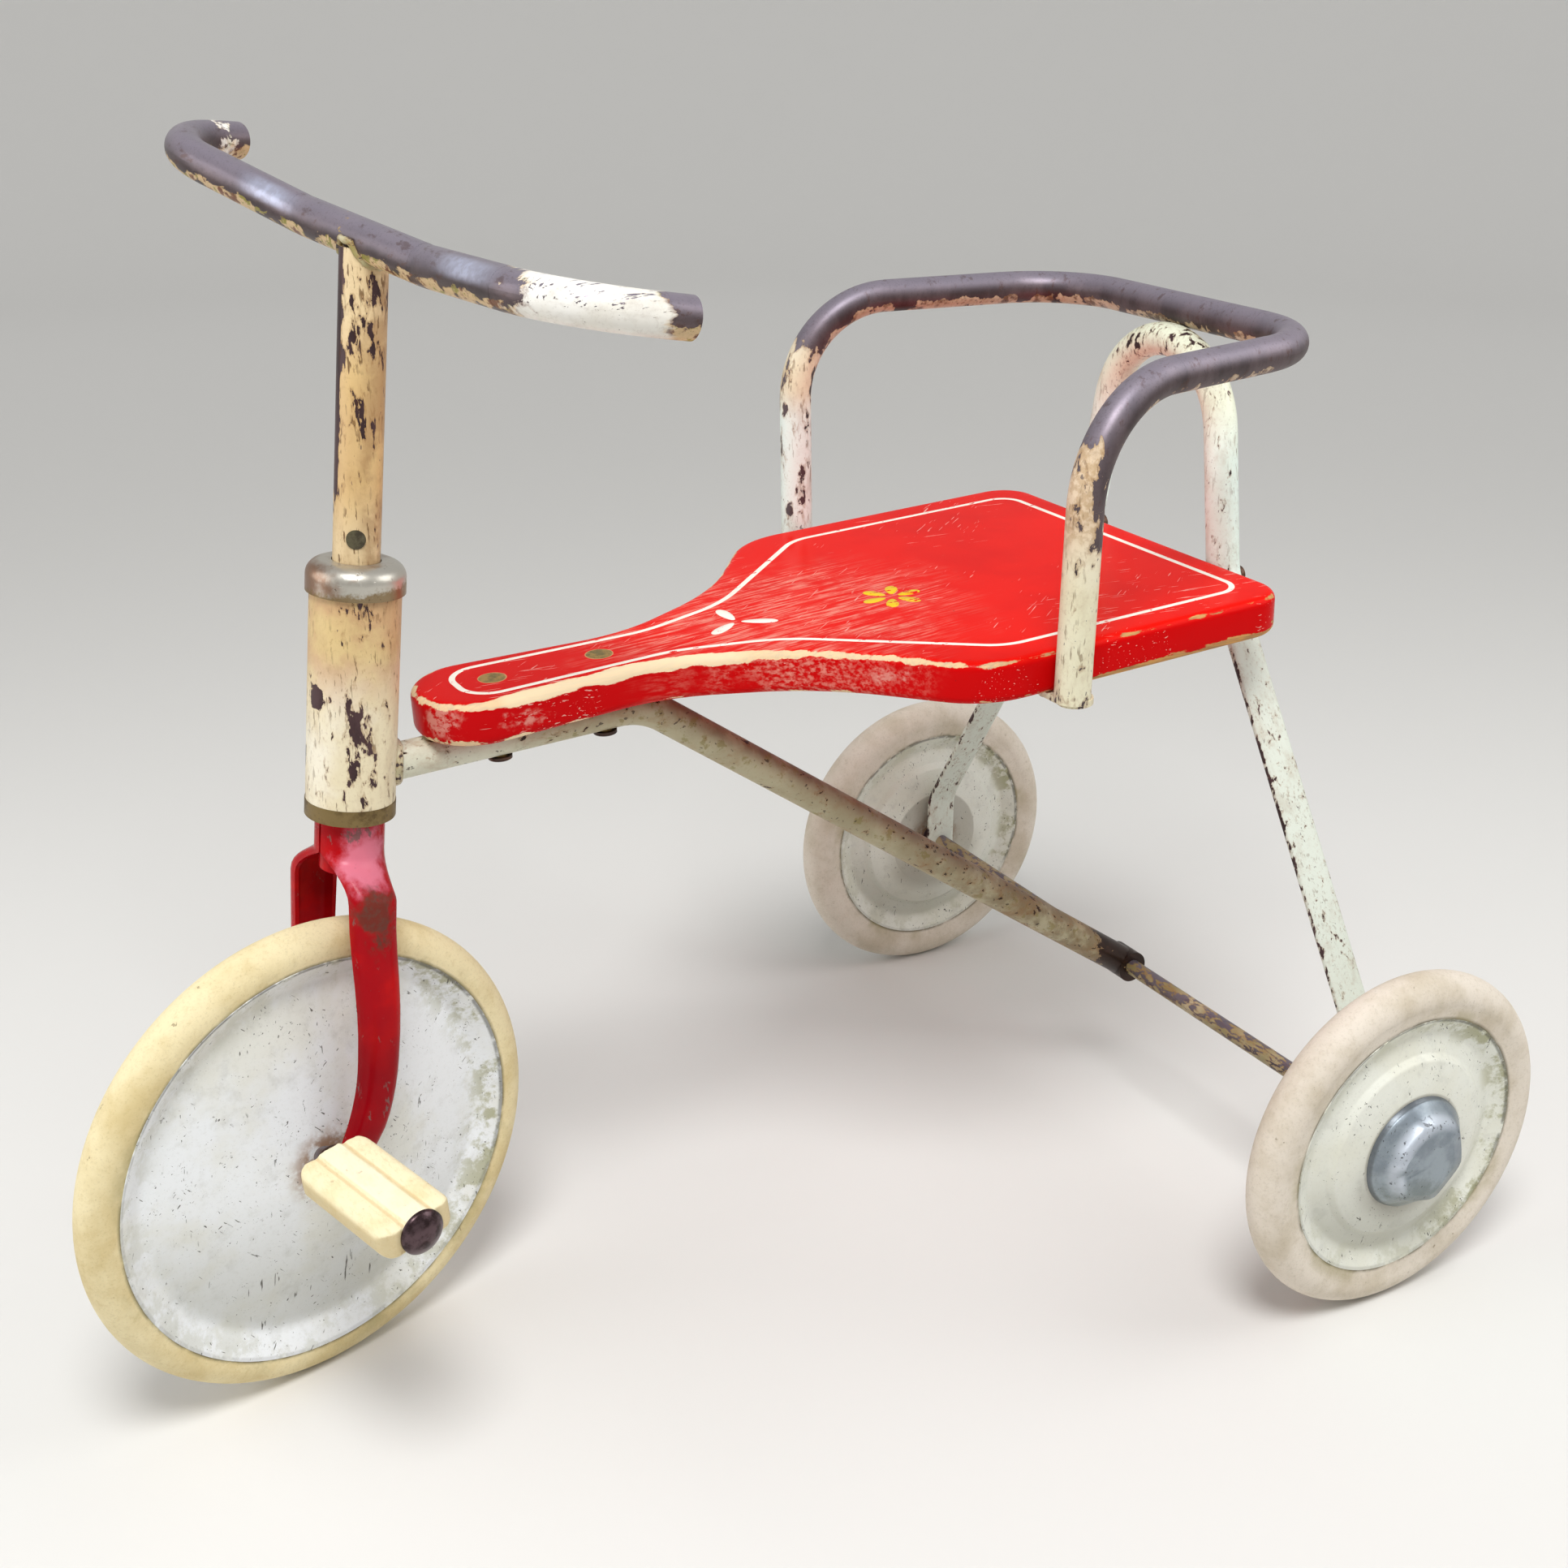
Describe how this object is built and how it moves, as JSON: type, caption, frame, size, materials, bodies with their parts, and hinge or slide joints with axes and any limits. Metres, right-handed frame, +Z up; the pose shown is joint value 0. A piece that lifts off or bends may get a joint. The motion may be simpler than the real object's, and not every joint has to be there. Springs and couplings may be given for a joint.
{
  "type": "child's tricycle",
  "caption": "Old pedal tricycle for a small child: bent steel tube frame and armrest, shaped red wooden seat, pressed fork, disc wheels with pale tyres and block pedals on a cranked rod.",
  "frame": {"origin": "on the ground under the middle of the toy's outer box", "axes": "+X forward, +Y to the rider's left, +Z up; the toy stands on the plane z = 0"},
  "size_m": [0.6074, 0.4318, 0.5013],
  "materials": {
    "cream_paint": "worn cream enamel with rust spots",
    "worn_tube": "bare brown-grey steel with remains of cream enamel",
    "hoop_paint": "worn greenish white enamel",
    "cap_steel": "bright plated steel with yellow-green patina",
    "ring_steel": "yellowed plated steel",
    "dark_steel": "dark brown steel",
    "rod_steel": "browned round steel",
    "seat_red": "red gloss paint, worn to bare wood at the edges",
    "bolt_brass": "dull brass colour",
    "fork_red": "red gloss enamel with brown scuffs",
    "disc_white": "worn white enamel with small dark scratches",
    "front_tyre_rubber": "yellowed white rubber",
    "rear_tyre_rubber": "dirty off-white rubber",
    "cap_grey": "blue-grey paint, worn",
    "pedal_cream": "pale yellow moulded pedal block"
  },
  "bodies": {
    "frame": {"head_tube": "cream_paint", "head_cap": "cap_steel", "head_ring": "ring_steel", "upper_bush": "dark_steel", "lower_bush": "dark_steel", "backbone_tube": "cream_paint", "rear_axle": "rod_steel", "rear_hoop": "hoop_paint", "armrest": "worn_tube", "seat_board": "seat_red", "seat_bolts": "bolt_brass", "seat_nuts": "dark_steel", "armrest_screws": "dark_steel", "hoop_screws": "dark_steel", "axle_washers": "dark_steel", "axle_nuts": "dark_steel"},
    "steering": {"steerer_tube": "dark_steel", "crown_collar": "fork_red", "fork_blade_left": "fork_red", "fork_blade_right": "fork_red", "fork_bushes": "dark_steel", "handlebar_stem": "cream_paint", "handlebar": "worn_tube", "stem_rivet": "dark_steel"},
    "front_wheel": {"crank_axle": "rod_steel", "front_disc_left": "disc_white", "front_disc_right": "disc_white", "front_hub": "dark_steel", "hub_pin": "dark_steel", "front_tyre": "front_tyre_rubber", "front_washers": "dark_steel", "pedal_washers": "dark_steel", "pedal_cap_left": "dark_steel", "pedal_cap_right": "dark_steel"},
    "left_pedal": {"left_pedal_block": "pedal_cream"},
    "right_pedal": {"right_pedal_block": "pedal_cream"},
    "left_rear_wheel": {"left_outer_disc": "disc_white", "left_inner_disc": "disc_white", "left_hub": "dark_steel", "left_tyre": "rear_tyre_rubber", "left_hubcap": "cap_grey"},
    "right_rear_wheel": {"right_outer_disc": "disc_white", "right_inner_disc": "disc_white", "right_hub": "dark_steel", "right_tyre": "rear_tyre_rubber", "right_hubcap": "cap_grey"}
  },
  "joints": [
    {"name": "steering_turn", "type": "hinge", "parent": "frame", "child": "steering", "pos_m": [0.18939, 0, 0.10243], "axis": [-0.112, 0, 0.9937], "continuous": true},
    {"name": "front_wheel_spin", "type": "hinge", "parent": "steering", "child": "front_wheel", "pos_m": [0.20283, 0.0036, 0.10395], "axis": [-0.2555, 0.9664, -0.0288], "continuous": true},
    {"name": "left_pedal_spin", "type": "hinge", "parent": "front_wheel", "child": "left_pedal", "pos_m": [0.20188, 0.08649, 0.13115], "axis": [-0.2555, 0.9664, -0.0288], "continuous": true},
    {"name": "right_pedal_spin", "type": "hinge", "parent": "front_wheel", "child": "right_pedal", "pos_m": [0.20378, -0.07929, 0.07674], "axis": [-0.2555, 0.9664, -0.0288], "continuous": true},
    {"name": "left_rear_spin", "type": "hinge", "parent": "frame", "child": "left_rear_wheel", "pos_m": [-0.2237, 0.19, 0.08], "axis": [0, 1, 0], "continuous": true},
    {"name": "right_rear_spin", "type": "hinge", "parent": "frame", "child": "right_rear_wheel", "pos_m": [-0.2237, -0.19, 0.08], "axis": [0, 1, 0], "continuous": true}
  ]
}
